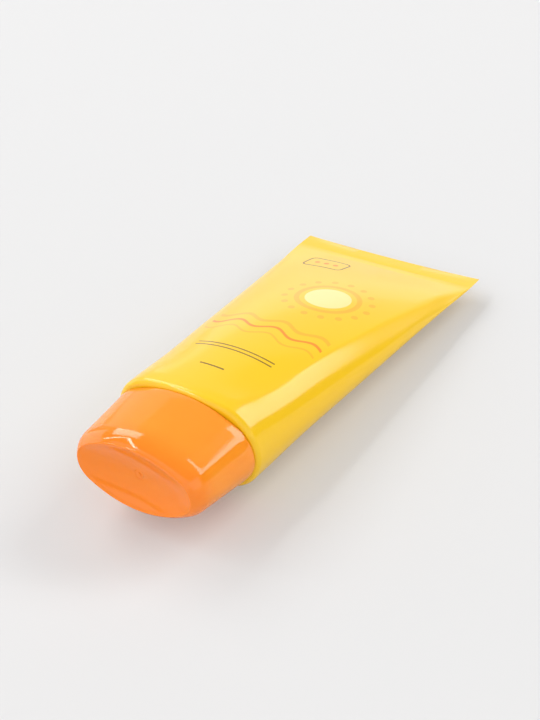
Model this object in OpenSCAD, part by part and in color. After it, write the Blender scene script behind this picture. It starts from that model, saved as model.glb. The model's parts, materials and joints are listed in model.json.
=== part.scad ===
// Soft oval squeeze tube for sun cream, lying on its belly, closed by an oval screw cap.
// Every piece is drawn about the tube's axis, with the shoulder face at z = 0,
// the cap towards +z, the crimped end towards -z and the width along x.
// lay_down() then turns the tube to lie on its flattened belly, cap towards -Y.

/* [Sleeve] */
// Diameter of the round tube that is pressed oval; it sets the sleeve's girth
tube_d = 40; // [34:1:48]
// Height of the oval at the shoulder
oval_h = 28.7; // [28:0.1:32]
// Radius of the oval's rounded sides at the shoulder
side_r = 13.5; // [10.5:0.1:13.7]
// Length of the sleeve from the shoulder face to the crimped edge
sleeve_len = 112.4; // [80:0.1:150]
// Thickness of the sleeve's wall
sleeve_wall = 0.45; // [0.3:0.05:0.8]
// Length of the heat-sealed crimp
crimp_len = 6.2; // [4:0.1:10]
// How full the sides stay towards the crimp: 1 is a straight wedge
bulge = 2.05; // [1.4:0.05:2.6]
// Radius of the rolled edge round the shoulder
roll_r = 1.75; // [1:0.05:2]
// Width of the sleeve's lip welded on the shoulder face
lip_w = 1.2; // [0.6:0.1:2.5]

/* [Belly] */
// Distance from the shoulder face to the middle of the flattened belly
rest_at = 35.5; // [30:0.5:45]
// Depth of the flat that the tube's own weight presses into the belly
rest_flat = 0.5; // [0.3:0.1:0.8]

/* [Head] */
// Thickness of the shoulder plate under the lip
plate_t = 1.3; // [0.9:0.1:2]
// Length of the skirt that is welded inside the sleeve
skirt_len = 3; // [1.5:0.1:5]
// Thickness of that skirt
skirt_t = 0.9; // [0.6:0.1:1.5]
// Diameter over the neck's thread
neck_d = 16; // [14:0.1:17]
// Height of the neck above the shoulder face
neck_len = 11; // [8:0.1:12]
// Diameter of the hole that the cream leaves by
orifice_d = 6; // [3:0.1:8]
// Diameter of the funnel under the hole
funnel_d = 11; // [9:0.1:13]

/* [Seal] */
// Thickness of the peel-off foil disc
foil_t = 0.2; // [0.1:0.05:0.4]
// How far the foil stays inside the neck's edge
foil_margin = 0.5; // [0.2:0.1:1]

/* [Cap] */
// Height of the cap from the shoulder face to its rim
cap_len = 23; // [20:0.1:28]
// How far the cap's mouth stands in from the sleeve all round
cap_step = 0.8; // [0.3:0.05:1.5]
// Radius of the cap's rounded sides at its mouth
cap_side_r = 10.4; // [9:0.1:12]
// How much each narrow side of the cap leans in from the shoulder face to the rim
cap_lean_w = 2.4; // [0.5:0.05:2.8]
// How much each broad side of the cap leans in over the same height
cap_lean_h = 1.7; // [0.5:0.05:2.2]
// Length of the cap that its big rounded edge takes up
edge_len = 5.6; // [3:0.1:6.5]
// How far that edge draws in before it ends in the rim
edge_in = 2.5; // [1.5:0.1:3]
// How many degrees it turns on the way; 90 would bring it flat into the rim
edge_turn = 56; // [45:1:80]
// Width of the flat rim round the dished end
rim_w = 0.3; // [0.2:0.05:0.6]
// Depth of the dished end
dish_depth = 2.8; // [1:0.1:3.2]
// Thickness of the cap's outer wall
cap_wall = 1.3; // [1:0.1:1.8]

/* [Insert] */
// Thickness of the threaded sleeve's wall
insert_wall = 1.5; // [1:0.1:2]
// Thickness of the oval plate that closes the cap's mouth
base_t = 1.2; // [0.8:0.1:2]
// How far that plate lies inside the cap's mouth
base_recess = 1; // [0.5:0.1:2]
// Outer diameter of the ring that seats against the cap's end wall
seat_ring_d = 14; // [10:0.5:17]
// Wall of that ring
seat_ring_wall = 1.2; // [0.8:0.1:2]
// Thickness of the insert's ribs
rib_t = 1; // [0.6:0.1:1.6]
// Height of the ribs above the base plate
rib_h = 6; // [3:0.1:8]
// Thickness of the sealing wad
liner_t = 1; // [0.6:0.1:2]

/* [Contents] */
// Empty length between the cream and the crimp
headspace = 17.5; // [8:0.5:30]

/* [Fits] */
// Gap between the neck's thread and the cap's thread
thread_gap = 0.25; // [0.15:0.05:0.4]
// Gap between the shoulder face and the cap's mouth
cap_gap = 0.3; // [0.2:0.05:0.6]
// Gap round pieces that are pressed or welded together
seat_gap = 0.06; // [0.05:0.01:0.12]
// Gap between the cream and the walls that hold it
cream_gap = 0.15; // [0.1:0.01:0.3]

/* [Hidden] */
$fn = 64;

// Points on a quarter of an oval: along its side arc and along its flat arc
side_steps = 8;
flat_steps = 8;
ring_points = 4 * (side_steps + flat_steps);

// Stations along the sleeve and steps round the small curves
body_steps = 18;
roll_steps = 4;
edge_steps = 5;
dish_steps = 5;
search_steps = 24;
radian = 180 / PI;

// Half thickness of the narrow hollow left where the walls meet at the crimp
thin_b = 0.1;
// An oval's side arcs stay between these shares of its half height
least_share = 0.1;
most_share = 0.98;
// A level under everything, for an oval that isn't flattened
no_floor = -1000;
// How far a cutting body reaches past what it cuts
cut = 1;

// A four-arc oval: half width a, half height b, side arcs of radius r
function flat_r(a, b, r) = (pow(a - r, 2) / (b - r) + r + b) / 2;
function side_angle(a, b, r) = atan2(flat_r(a, b, r) - b, a - r);
function girth(a, b, r) =
    4 * (r * side_angle(a, b, r) + flat_r(a, b, r) * (90 - side_angle(a, b, r))) / radian;

// Half width that gives the oval the wanted girth
function half_width(want, b, r, low, high, n = search_steps) =
    let (mid = (low + high) / 2)
    n == 0 ? mid
    : girth(mid, b, r) < want ? half_width(want, b, r, mid, high, n - 1)
    : half_width(want, b, r, low, mid, n - 1);

// Radius of the side arcs that gives the oval the wanted girth
function side_radius(want, a, b, low, high, n = search_steps) =
    let (mid = (low + high) / 2)
    n == 0 ? mid
    : girth(a, b, mid) < want ? side_radius(want, a, b, mid, high, n - 1)
    : side_radius(want, a, b, low, mid, n - 1);

// Sizes that follow from the girth, which stays the same all along the sleeve
sleeve_girth = PI * tube_d;
crimp_w = sleeve_girth / 2;
shoulder_b = oval_h / 2;
shoulder_a = half_width(sleeve_girth, shoulder_b, side_r, shoulder_b, crimp_w / 2);
crimp_b = sleeve_wall;
open_len = sleeve_len - crimp_len;

skirt_low = roll_r + skirt_len;
taper_len = open_len - skirt_low;

// Share of the taper behind y: the sleeve keeps its oval down to the skirt's end
function way(y) = max(0, min(1, (y - skirt_low) / taper_len));

// Half width, half height and side radius of the sleeve, y from the shoulder face
function body_a(y) = shoulder_a + (crimp_w / 2 - shoulder_a) * way(y);
function body_b(y) = max(crimp_b, shoulder_b * (1 - pow(way(y), bulge)));
function body_r(y) =
    side_radius(sleeve_girth, body_a(y), body_b(y), body_b(y) * least_share, body_b(y) * most_share);

// The belly's slope where the tube rests, which is how far the tube leans
tilt = atan(shoulder_b * bulge / taper_len * pow(way(rest_at), bulge - 1));
rest_z = -body_b(rest_at) * cos(tilt) - rest_at * sin(tilt) + rest_flat;

// Lowest height in a section, y from the shoulder face, lifted by inset
function belly(y, inset) = (rest_z + inset + y * sin(tilt)) / cos(tilt);

// One ring of an oval at height z, kept above the level floor_y
function oval_ring(a, b, r, z, floor_y = no_floor) =
    let (big = flat_r(a, b, r))
    let (turn = side_angle(a, b, r))
    let (side = [
        for (i = [0 : side_steps - 1])
        let (u = turn * i / side_steps)
        [a - r + r * cos(u), r * sin(u)]
    ])
    let (flat = [
        for (i = [0 : flat_steps - 1])
        let (u = turn + (90 - turn) * i / flat_steps)
        [big * cos(u), b - big + big * sin(u)]
    ])
    let (quarter = concat(side, flat))
    let (n = len(quarter))
    let (upper = concat(
        quarter,
        [[0, b]],
        [for (i = [n - 1 : -1 : 1]) [-quarter[i][0], quarter[i][1]]]
    ))
    let (loop = concat(upper, [for (p = upper) -p]))
    [for (p = loop) [p[0], max(p[1], floor_y), z]];

// One ring of a circle, with its points at the same bearings as an oval's
function round_ring(r, z) =
    [for (i = [0 : ring_points - 1]) let (u = 360 * i / ring_points) [r * cos(u), r * sin(u), z]];

// A closed skin through rings of equal length
module skin(rings) {
    n = len(rings[0]);
    last = len(rings) - 1;
    sides = [
        for (j = [0 : last - 1])
        for (i = [0 : n - 1])
        let (k = (i + 1) % n)
        each [
            [j * n + i, (j + 1) * n + i, (j + 1) * n + k],
            [j * n + i, (j + 1) * n + k, j * n + k],
        ]
    ];
    bottom = [for (i = [0 : n - 1]) i];
    top = [for (i = [n - 1 : -1 : 0]) last * n + i];
    polyhedron([for (ring = rings) each ring], concat([bottom], sides, [top]), convexity = 10);
}

// The flat four-arc oval with true arcs
module oval_face(a, b, r) {
    big = flat_r(a, b, r);
    join_x = a - r + r * cos(side_angle(a, b, r));
    intersection() {
        translate([0, b - big]) circle(big);
        translate([0, big - b]) circle(big);
        square([2 * join_x, 2 * b], center = true);
    }
    for (side = [-1, 1]) {
        translate([side * (a - r), 0]) circle(r);
    }
}

// The sleeve's section at y, drawn in by inset
function sleeve_ring(y, inset) =
    let (a = body_a(y) - inset)
    let (b = max(body_b(y) - inset, thin_b))
    let (r = max(min(body_r(y) - inset, b * most_share), b * least_share))
    oval_ring(a, b, r, -y, belly(y, inset));

// How far the rolled edge lies inside the body: u is 0 at the body and 90 on the face
function roll_in(u, inset) = inset + (roll_r - inset) * (1 - cos(u));
function roll_z(u, inset) = (roll_r - inset) * sin(u) - roll_r;

function shoulder_ring(in, z) = oval_ring(shoulder_a - in, shoulder_b - in, side_r - in, z);

// Levels of the head, seal, wad and insert, all counted from the shoulder face
plate_low = sleeve_wall + seat_gap + plate_t;
skirt_in = sleeve_wall + seat_gap;
neck_r = neck_d / 2;
foil_top = neck_len + foil_t;
tab_top = foil_top + foil_t;
liner_low = tab_top + seat_gap;
bore_top = liner_low + liner_t + seat_gap;
bore_r = neck_r + thread_gap;
insert_r = bore_r + insert_wall;
insert_top = bore_top + insert_wall;
base_low = cap_gap + base_recess;
base_top = base_low + base_t;
rib_top = base_top + rib_h;

// The cap's outside leans in evenly up to its rounded edge
mouth_a = shoulder_a - cap_step;
mouth_b = shoulder_b - cap_step;
edge_z = cap_len - edge_len;
ceiling_z = cap_len - dish_depth - cap_wall;
function lean_w(z) = cap_lean_w * z / cap_len;
function lean_h(z) = cap_lean_h * z / cap_len;

// Half width, half height and side radius of the cap as it leans at z, drawn in by in
function cap_oval(z, in) = [
    mouth_a - lean_w(z) - in,
    mouth_b - lean_h(z) - in,
    cap_side_r - (lean_w(z) + lean_h(z)) / 2 - in,
];
function cap_ring(lean_z, in, z) =
    let (o = cap_oval(lean_z, in))
    oval_ring(o[0], o[1], o[2], z);

// Lays the finished tube on its belly, with the origin under the middle of its box
module lay_down() {
    end_b = cap_oval(edge_z, edge_in)[1];
    front = cap_len * cos(tilt) + end_b * sin(tilt);
    back = sleeve_len * cos(tilt) + crimp_b * sin(tilt);
    translate([0, (front - back) / 2, -rest_z])
    rotate([90 - tilt, 0, 0])
    children();
}

// The sleeve: one skin of even girth from the oval shoulder to the flat crimp
module tube_sleeve() {
    stations = concat([roll_r], [for (i = [0 : body_steps]) skirt_low + taper_len * i / body_steps]);
    turns = [for (i = [1 : roll_steps]) 90 * i / roll_steps];
    outer = concat(
        [sleeve_ring(sleeve_len, 0)],
        [for (i = [len(stations) - 1 : -1 : 0]) sleeve_ring(stations[i], 0)],
        [for (u = turns) shoulder_ring(roll_in(u, 0), roll_z(u, 0))]
    );
    lip = [for (z = [0, -sleeve_wall]) shoulder_ring(roll_r + lip_w, z)];
    inner = concat(
        [
            for (i = [roll_steps - 1 : -1 : 0])
            shoulder_ring(roll_in(turns[i], sleeve_wall), roll_z(turns[i], sleeve_wall))
        ],
        [for (y = stations) sleeve_ring(y, sleeve_wall)]
    );
    color("gold") lay_down() skin(concat(outer, lip, inner));
}

// The shoulder's outline, drawn in from the sleeve's outside
module shoulder_face(in) {
    oval_face(shoulder_a - in, shoulder_b - in, side_r - in);
}

// The head: a face inside the lip, a plate that fills the rolled edge, a skirt and the neck
module tube_head() {
    color("white") lay_down()
    difference() {
        union() {
            translate([0, 0, -plate_low])
            linear_extrude(plate_low)
            shoulder_face(roll_r + lip_w + seat_gap);
            for (i = [0 : roll_steps]) {
                u = 90 * i / roll_steps;
                top = roll_z(u, sleeve_wall) - seat_gap;
                if (top > -plate_low) {
                    translate([0, 0, -plate_low])
                    linear_extrude(top + plate_low)
                    shoulder_face(roll_in(u, sleeve_wall) + seat_gap);
                }
            }
            translate([0, 0, -skirt_low])
            linear_extrude(skirt_low - min(plate_low, roll_r + seat_gap))
            difference() {
                shoulder_face(skirt_in);
                shoulder_face(skirt_in + skirt_t);
            }
            cylinder(h = neck_len, r = neck_r);
        }
        translate([0, 0, -plate_low - cut])
        cylinder(h = plate_low + neck_len + 2 * cut, d = orifice_d);
        translate([0, 0, -plate_low])
        cylinder(h = plate_low, d1 = funnel_d, d2 = orifice_d);
    }
}

// The peel-off foil on the neck, with its half-moon pull tab
module neck_foil() {
    foil_r = neck_r - foil_margin;
    color("silver") lay_down() translate([0, 0, neck_len]) {
        cylinder(h = foil_t, r = foil_r);
        intersection() {
            cylinder(h = 2 * foil_t, r = foil_r);
            translate([-foil_r, 0, 0]) cube([2 * foil_r, foil_r, 2 * foil_t]);
        }
    }
}

// The cream: it fills the sleeve up to the headspace, the funnel and the neck
module cream_fill() {
    in = sleeve_wall + cream_gap;
    low = skirt_low + cream_gap;
    high = open_len - headspace;
    cream_steps = body_steps - 2;
    skirt_inner = skirt_in + skirt_t + cream_gap;
    rings = concat(
        [for (i = [cream_steps : -1 : 0]) sleeve_ring(low + (high - low) * i / cream_steps, in)],
        [for (y = [low, plate_low + cream_gap]) shoulder_ring(skirt_inner, -y)],
        [
            round_ring(funnel_d / 2 - cream_gap, -plate_low - cream_gap),
            round_ring(orifice_d / 2 - cream_gap, 0),
            round_ring(orifice_d / 2 - cream_gap, neck_len - cream_gap),
        ]
    );
    color("ivory") lay_down() skin(rings);
}

// The cap's oval outer shell: leaning sides, big rounded edge, narrow rim and dished end
module cap_shell() {
    inner = [for (z = [ceiling_z, cap_gap]) cap_ring(z, cap_wall, z)];
    edge = [
        for (i = [0 : edge_steps])
        let (u = edge_turn * i / edge_steps)
        let (in = edge_in * (1 - cos(u)) / (1 - cos(edge_turn)))
        cap_ring(edge_z, in, edge_z + edge_len * sin(u) / sin(edge_turn))
    ];
    dish_oval = cap_oval(edge_z, edge_in + rim_w);
    dish = [
        for (s = concat([for (i = [dish_steps : -1 : 1]) i / dish_steps], [1 / ring_points]))
        oval_ring(dish_oval[0] * s, dish_oval[1] * s, dish_oval[2] * s, cap_len - dish_depth * (1 - s * s))
    ];
    color("darkorange") lay_down()
    skin(concat(inner, [cap_ring(cap_gap, 0, cap_gap)], edge, dish));
}

// The cap's insert: threaded sleeve, oval base plate that keys it in the shell, ribs and seat
module cap_insert() {
    base_oval = cap_oval(base_top, cap_wall + seat_gap);
    rib_ends = cap_oval(rib_top, cap_wall + seat_gap);
    low = cap_gap + seat_gap;
    color("orange") lay_down()
    difference() {
        union() {
            translate([0, 0, low]) cylinder(h = insert_top - low, r = insert_r);
            translate([0, 0, insert_top])
            cylinder(h = ceiling_z - seat_gap - insert_top, d = seat_ring_d);
            translate([0, 0, base_low])
            linear_extrude(base_t)
            oval_face(base_oval[0], base_oval[1], base_oval[2]);
            for (i = [0 : 3]) {
                rotate([0, 0, 90 * i])
                translate([0, -rib_t / 2, base_low])
                cube([rib_ends[i % 2], rib_t, rib_top - base_low]);
            }
        }
        translate([0, 0, -cut]) cylinder(h = bore_top + cut, r = bore_r);
        translate([0, 0, insert_top])
        cylinder(h = cap_len, d = seat_ring_d - 2 * seat_ring_wall);
    }
}

// The round sealing wad that the cap presses on the neck
module cap_liner() {
    color("whitesmoke") lay_down()
    translate([0, 0, liner_low])
    cylinder(h = liner_t, r = bore_r - 2 * seat_gap);
}

tube_sleeve();
tube_head();
neck_foil();
cream_fill();
cap_shell();
cap_insert();
cap_liner();
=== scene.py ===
# An oval squeeze tube of sun cream, lying on its belly. Sizes are in millimetres
# and tube coordinates: x across, y up through the flat side, z towards the cap,
# with z = 0 on the shoulder face. The cap's own joint says where that is.
import bpy
import json
import math
from mathutils import Matrix, Vector, noise


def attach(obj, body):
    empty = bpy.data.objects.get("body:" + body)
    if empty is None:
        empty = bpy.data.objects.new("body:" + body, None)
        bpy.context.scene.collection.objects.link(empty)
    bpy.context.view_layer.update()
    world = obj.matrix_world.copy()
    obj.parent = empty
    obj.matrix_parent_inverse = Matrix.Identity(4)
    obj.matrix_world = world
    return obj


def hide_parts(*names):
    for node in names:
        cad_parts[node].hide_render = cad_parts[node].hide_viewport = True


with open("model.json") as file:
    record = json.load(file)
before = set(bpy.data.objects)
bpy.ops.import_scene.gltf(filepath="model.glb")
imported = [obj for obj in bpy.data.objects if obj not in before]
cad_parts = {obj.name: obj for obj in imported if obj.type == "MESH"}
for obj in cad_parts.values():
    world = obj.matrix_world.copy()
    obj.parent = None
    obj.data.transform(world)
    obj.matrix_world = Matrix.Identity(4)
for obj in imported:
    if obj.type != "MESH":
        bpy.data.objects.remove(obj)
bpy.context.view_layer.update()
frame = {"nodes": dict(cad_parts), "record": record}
mm = 0.001
radian = math.pi / 180

joints = {joint["name"]: joint for joint in frame["record"]["behaviour"]["joints"]}
capWay = Vector(joints["cap_turn"]["axis"]).normalized()
widthWay = Vector((1, 0, 0))
heightWay = capWay.cross(widthWay)
shoulderPoint = Vector(joints["cap_turn"]["pos_m"])
turned = Matrix((widthWay, heightWay, capWay)).transposed().to_4x4()
layDown = Matrix.Translation(shoulderPoint) @ turned @ Matrix.Scale(mm, 4)


def spanOf(node):
    # lowest and highest tube coordinates of a CAD node
    back = layDown.inverted()
    points = [back @ v.co for v in frame["nodes"][node].data.vertices]
    low = Vector([min(p[k] for p in points) for k in range(3)])
    high = Vector([max(p[k] for p in points) for k in range(3)])
    return low, high


sleeveLow, sleeveHigh = spanOf("tube_sleeve")
headLow, headHigh = spanOf("tube_head")
capLow, capHigh = spanOf("cap_shell")
insertLow, insertHigh = spanOf("cap_insert")
linerLow, linerHigh = spanOf("cap_liner")
foilLow, foilHigh = spanOf("neck_foil")
creamLow, creamHigh = spanOf("cream_fill")
print("frame read: sleeve", round(-sleeveLow.z, 1), "mm long, cap", round(capHigh.z, 1), "mm long")


# The four-arc oval that the sleeve and the cap share
def flatRadius(a, b, r):
    return ((a - r) ** 2 / (b - r) + r + b) / 2


def sideAngle(a, b, r):
    return math.atan2(flatRadius(a, b, r) - b, a - r)


def girthOf(a, b, r):
    turn = sideAngle(a, b, r)
    return 4 * (r * turn + flatRadius(a, b, r) * (math.pi / 2 - turn))


def solveFor(want, value, low, high):
    # halves the range until value(x) gives what is wanted
    for _ in range(30):
        middle = (low + high) / 2
        low, high = (middle, high) if value(middle) < want else (low, middle)
    return middle


def ellipsePoint(a, b, u):
    # the point of an ellipse whose outward direction is u
    size = math.hypot(a * math.cos(u), b * math.sin(u))
    return a * a * math.cos(u) / size, b * b * math.sin(u) / size


def ovalRing(a, b, r, z, count, floorY=-math.inf, slack=0.0):
    # points at equal shares of each arc, from +x over the top; slack turns the oval to an ellipse
    big = flatRadius(a, b, r)
    turn = sideAngle(a, b, r)
    steps = count // 8
    side = [turn * i / steps for i in range(steps)]
    flat = [turn + (math.pi / 2 - turn) * i / steps for i in range(steps)]
    quarter = [(a - r + r * math.cos(u), r * math.sin(u)) for u in side]
    quarter += [(big * math.cos(u), b - big + big * math.sin(u)) for u in flat]
    if slack > 0:
        soft = [ellipsePoint(a, b, u) for u in side + flat]
        quarter = [
            (x + (softX - x) * slack, y + (softY - y) * slack)
            for (x, y), (softX, softY) in zip(quarter, soft)
        ]
    upper = quarter + [(0, b)] + [(-x, y) for x, y in reversed(quarter[1:])]
    loop = upper + [(-x, -y) for x, y in upper]
    return [Vector((x, max(y, floorY), z)) for x, y in loop]


def roundRing(r, z, count, thread=None):
    # a circle, or one turn of a thread's surface where thread gives the radius
    ring = []
    for i in range(count):
        u = 2 * math.pi * i / count
        radius = r + thread(u, z) if thread else r
        ring.append(Vector((radius * math.cos(u), radius * math.sin(u), z)))
    return ring


# Modelling helpers
def deselectAll():
    bpy.ops.object.select_all(action="DESELECT")


def activate(piece):
    deselectAll()
    piece.select_set(True)
    bpy.context.view_layer.objects.active = piece


def pickRings(piece, count, *rings):
    # selects whole rings of a lofted piece, in edit mode
    bpy.ops.mesh.select_all(action="DESELECT")
    bpy.ops.object.mode_set(mode="OBJECT")
    wanted = {k for ring in rings for k in range(ring * count, (ring + 1) * count)}
    for vertex in piece.data.vertices:
        vertex.select = vertex.index in wanted
    for edge in piece.data.edges:
        edge.select = edge.vertices[0] in wanted and edge.vertices[1] in wanted
    bpy.ops.object.mode_set(mode="EDIT")


def loft(name, rings, through=False):
    # a circle is extruded ring by ring, then each ring takes its own outline
    count = len(rings[0])
    deselectAll()
    bpy.ops.mesh.primitive_circle_add(vertices=count, radius=mm, fill_type="NOTHING")
    piece = bpy.context.object
    piece.name = piece.data.name = name
    bpy.ops.object.mode_set(mode="EDIT")
    bpy.ops.mesh.select_mode(type="VERT")
    bpy.ops.mesh.select_all(action="SELECT")
    for _ in rings[1:]:
        bpy.ops.mesh.extrude_edges_move()
    bpy.ops.object.mode_set(mode="OBJECT")
    points = [layDown @ p for ring in rings for p in ring]
    piece.data.vertices.foreach_set("co", [c for p in points for c in p])
    bpy.ops.object.mode_set(mode="EDIT")
    last = len(rings) - 1
    if through:
        pickRings(piece, count, 0, last)
        bpy.ops.mesh.bridge_edge_loops()
    else:
        for end in (0, last):
            pickRings(piece, count, end)
            bpy.ops.mesh.edge_face_add()
    bpy.ops.mesh.select_all(action="SELECT")
    bpy.ops.mesh.normals_make_consistent(inside=False)
    bpy.ops.object.mode_set(mode="OBJECT")
    return piece


def smoothByAngle(piece, degrees):
    activate(piece)
    bpy.ops.object.shade_smooth_by_angle(angle=degrees * radian)


def applyModifiers(piece):
    activate(piece)
    for modifier in list(piece.modifiers):
        bpy.ops.object.modifier_apply(modifier=modifier.name)


def finishPiece(piece, body, slot, material, *nodes):
    piece.data.materials.clear()
    piece.data.materials.append(material)
    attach(piece, body)
    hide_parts(*nodes)
    print("made", piece.name, "with", len(piece.data.polygons), "faces")


def joinInto(piece, others):
    deselectAll()
    for other in others:
        other.select_set(True)
    piece.select_set(True)
    bpy.context.view_layer.objects.active = piece
    bpy.ops.object.join()
    return piece


# Materials. Patch, line and pattern sizes are in millimetres
def linear(hexColour):
    # sRGB hex to the linear colour that the shader wants
    channels = [int(hexColour[k:k + 2], 16) / 255 for k in (1, 3, 5)]
    return [c / 12.92 if c <= 0.04045 else ((c + 0.055) / 1.055) ** 2.4 for c in channels] + [1]


def addNode(tree, kind, settings=None, inputs=None):
    # one node, with its settings, and each input a value or another node's output
    node = tree.nodes.new(kind)
    for key, value in (settings or {}).items():
        setattr(node, key, value)
    for key, value in (inputs or {}).items():
        if isinstance(value, bpy.types.NodeSocket):
            tree.links.new(value, node.inputs[key])
        else:
            node.inputs[key].default_value = value
    return node


def newMaterial(name):
    material = bpy.data.materials.new(name)
    material.use_nodes = True
    material.node_tree.nodes.clear()
    return material, material.node_tree


def finishMaterial(tree, inputs):
    shader = addNode(tree, "ShaderNodeBsdfPrincipled", {}, inputs)
    addNode(tree, "ShaderNodeOutputMaterial", {}, {"Surface": shader.outputs["BSDF"]})


# Printed laminate film: a golden ink field under clear varnish, hence the wet gloss.
# The print lies on the flat film: across from the top centre line, along from the shoulder.
film = {
    "field": "#F8CA12",
    "fieldDeep": "#F7C410",
    "fieldPatch": 30.0,
    "pale": "#FDE394",
    # painted reflection: from the first value below to the crimp, the field is mixed towards the pale ink
    # by the second value, a painted veil of sheen; the pale ink also prints the sun's disc
    "fadeFrom": 55.0,
    "fade": 0.14,
    "amber": "#FDB416",
    "orange": "#F78E1A",
    "brown": "#86681F",
    "haze": 0.45,
    "sheen": 0.14,
    "gloss": 0.14,
    "varnish": 0.75,
    "peel": 0.004,
    "peelSize": 2.5,  # roller varnish on film draws into patches of 2 to 3 mm
    "sunAt": (4.0, 67.0),
    "sunCore": 7.0,
    "sunRing": (9.4, 1.6),  # radius and line
    "dotRing": 13.2,
    "dotSize": 1.05,
    "dotCount": 16,
    "waves": [
        # along, half width across, line, ink
        (44.0, 19.0, 1.5, "amber"),
        (39.6, 19.0, 1.1, "orange"),
        (35.6, 19.0, 0.8, "amber"),
    ],
    "waveLength": 12.6,
    "waveHeight": 1.3,
    "rules": [(25.2, 13.0, 0.5), (23.6, 13.0, 0.5), (14.0, 4.0, 0.6)],
    "labelAt": (-13.5, 94.0),
    "labelHalf": (7.0, 4.0),
    "labelRound": 1.8,
    "labelLine": 0.55,
    "labelDot": 0.9,
    "labelDots": (-3.4, 0.0, 3.4),
    "backHalf": 17.0,
    "backRange": (45.0, 21.0),  # middle and half length
    "backPitch": 3.5,
    "backLine": 0.14,
    "ribPitch": 1.1,  # the jaws' ribs, about one to a millimetre
    "ribDepth": 0.02,
    "flatUnit": 100.0,
}


def distanceSteps(result, x, y):
    # the rows that give the length of the sloping side over x and y
    return [
        (result + "High", "MULTIPLY", y, y),
        (result + "Sum", "MULTIPLY_ADD", x, x, result + "High"),
        (result, "SQRT", result + "Sum"),
    ]


def printSteps(sealStart, girth):
    # the print as sums on the flat film. Each row is a result, what is done, and what it is done to;
    # each mask is 1 where its ink lies
    full = 2 * math.pi
    dotStep = full / film["dotCount"]
    steps = [("across", "MULTIPLY", "u", film["flatUnit"]), ("along", "MULTIPLY", "v", film["flatUnit"])]
    masks = []

    # a plain sun: a pale disc, a ring and a circle of dots
    steps += [
        ("sunX", "SUBTRACT", "across", film["sunAt"][0]),
        ("sunY", "SUBTRACT", "along", film["sunAt"][1]),
        *distanceSteps("radius", "sunX", "sunY"),
        ("angle", "ARCTAN2", "sunY", "sunX"),
        ("dotNumber", "MULTIPLY_ADD", "angle", 1 / dotStep, 100.5),  # 100 keeps it above zero
        ("dotShare", "FRACT", "dotNumber"),
        ("dotAngle", "MULTIPLY_ADD", "dotShare", dotStep, -dotStep / 2),
        ("dotAlong", "MULTIPLY", "dotAngle", film["dotRing"]),
        ("dotOut", "SUBTRACT", "radius", film["dotRing"]),
        *distanceSteps("fromDot", "dotOut", "dotAlong"),
        ("dots", "LESS_THAN", "fromDot", film["dotSize"]),
        ("ring", "COMPARE", "radius", film["sunRing"][0], film["sunRing"][1] / 2),
        ("core", "LESS_THAN", "radius", film["sunCore"]),
    ]
    masks += [("dots", "amber"), ("ring", "amber"), ("core", "pale")]

    # wave lines under it, then two thin rules and a short one
    steps += [("phase", "MULTIPLY", "across", full / film["waveLength"]), ("sway", "SINE", "phase")]
    lines = [(f"wave{k}", *wave, film["waveHeight"]) for k, wave in enumerate(film["waves"])]
    lines += [(f"rule{k}", *rule, "brown", 0.0) for k, rule in enumerate(film["rules"])]
    for name, y, half, line, ink, height in lines:
        steps += [
            (name + "Middle", "MULTIPLY_ADD", "sway", height, y),
            (name + "Inside", "COMPARE", "across", 0.0, half),
            (name + "Line", "COMPARE", "along", name + "Middle", line / 2),
            (name, "MULTIPLY", name + "Inside", name + "Line"),
        ]
        masks.append((name, ink))

    # a small rounded outline with three dots, near the crimp
    (labelX, labelY), (halfX, halfY) = film["labelAt"], film["labelHalf"]
    steps += [
        ("labelX", "SUBTRACT", "across", labelX),
        ("labelY", "SUBTRACT", "along", labelY),
        ("awayX", "ABSOLUTE", "labelX"),
        ("awayY", "ABSOLUTE", "labelY"),
        ("cornerX", "SUBTRACT", "awayX", halfX - film["labelRound"]),
        ("cornerY", "SUBTRACT", "awayY", halfY - film["labelRound"]),
        ("outX", "MAXIMUM", "cornerX", 0.0),
        ("outY", "MAXIMUM", "cornerY", 0.0),
        *distanceSteps("outside", "outX", "outY"),
        ("nearer", "MAXIMUM", "cornerX", "cornerY"),
        ("inner", "MINIMUM", "nearer", 0.0),
        ("border", "ADD", "outside", "inner"),
        ("label", "COMPARE", "border", film["labelRound"], film["labelLine"] / 2),
    ]
    masks.append(("label", "brown"))
    for k, x in enumerate(film["labelDots"]):
        steps += [
            (f"spotX{k}", "SUBTRACT", "labelX", x),
            *distanceSteps(f"fromSpot{k}", f"spotX{k}", "labelY"),
            (f"spot{k}", "LESS_THAN", f"fromSpot{k}", film["labelDot"]),
        ]
        masks.append((f"spot{k}", "orange"))

    # on the back, a block of plain ruled lines where the small print would be
    steps += [
        ("fromTop", "ABSOLUTE", "across"),
        ("pastBack", "SUBTRACT", girth / 2, "fromTop"),
        ("fromBack", "ABSOLUTE", "pastBack"),
        ("backWide", "LESS_THAN", "fromBack", film["backHalf"]),
        ("backLong", "COMPARE", "along", *film["backRange"]),
        ("block", "MULTIPLY", "backWide", "backLong"),
        ("backRows", "DIVIDE", "along", film["backPitch"]),
        ("backShare", "FRACT", "backRows"),
        ("backLine", "LESS_THAN", "backShare", film["backLine"]),
        ("back", "MULTIPLY", "block", "backLine"),
    ]
    masks.append(("back", "brown"))

    # jaw ribs across the seal
    steps += [
        ("ribPhase", "MULTIPLY", "across", full / film["ribPitch"]),
        ("ribWave", "SINE", "ribPhase"),
        ("onSeal", "GREATER_THAN", "along", sealStart),
        ("sealWave", "MULTIPLY", "ribWave", "onSeal"),
        ("ribs", "MULTIPLY_ADD", "sealWave", 0.5, 0.5),
    ]
    return steps, masks


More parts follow.
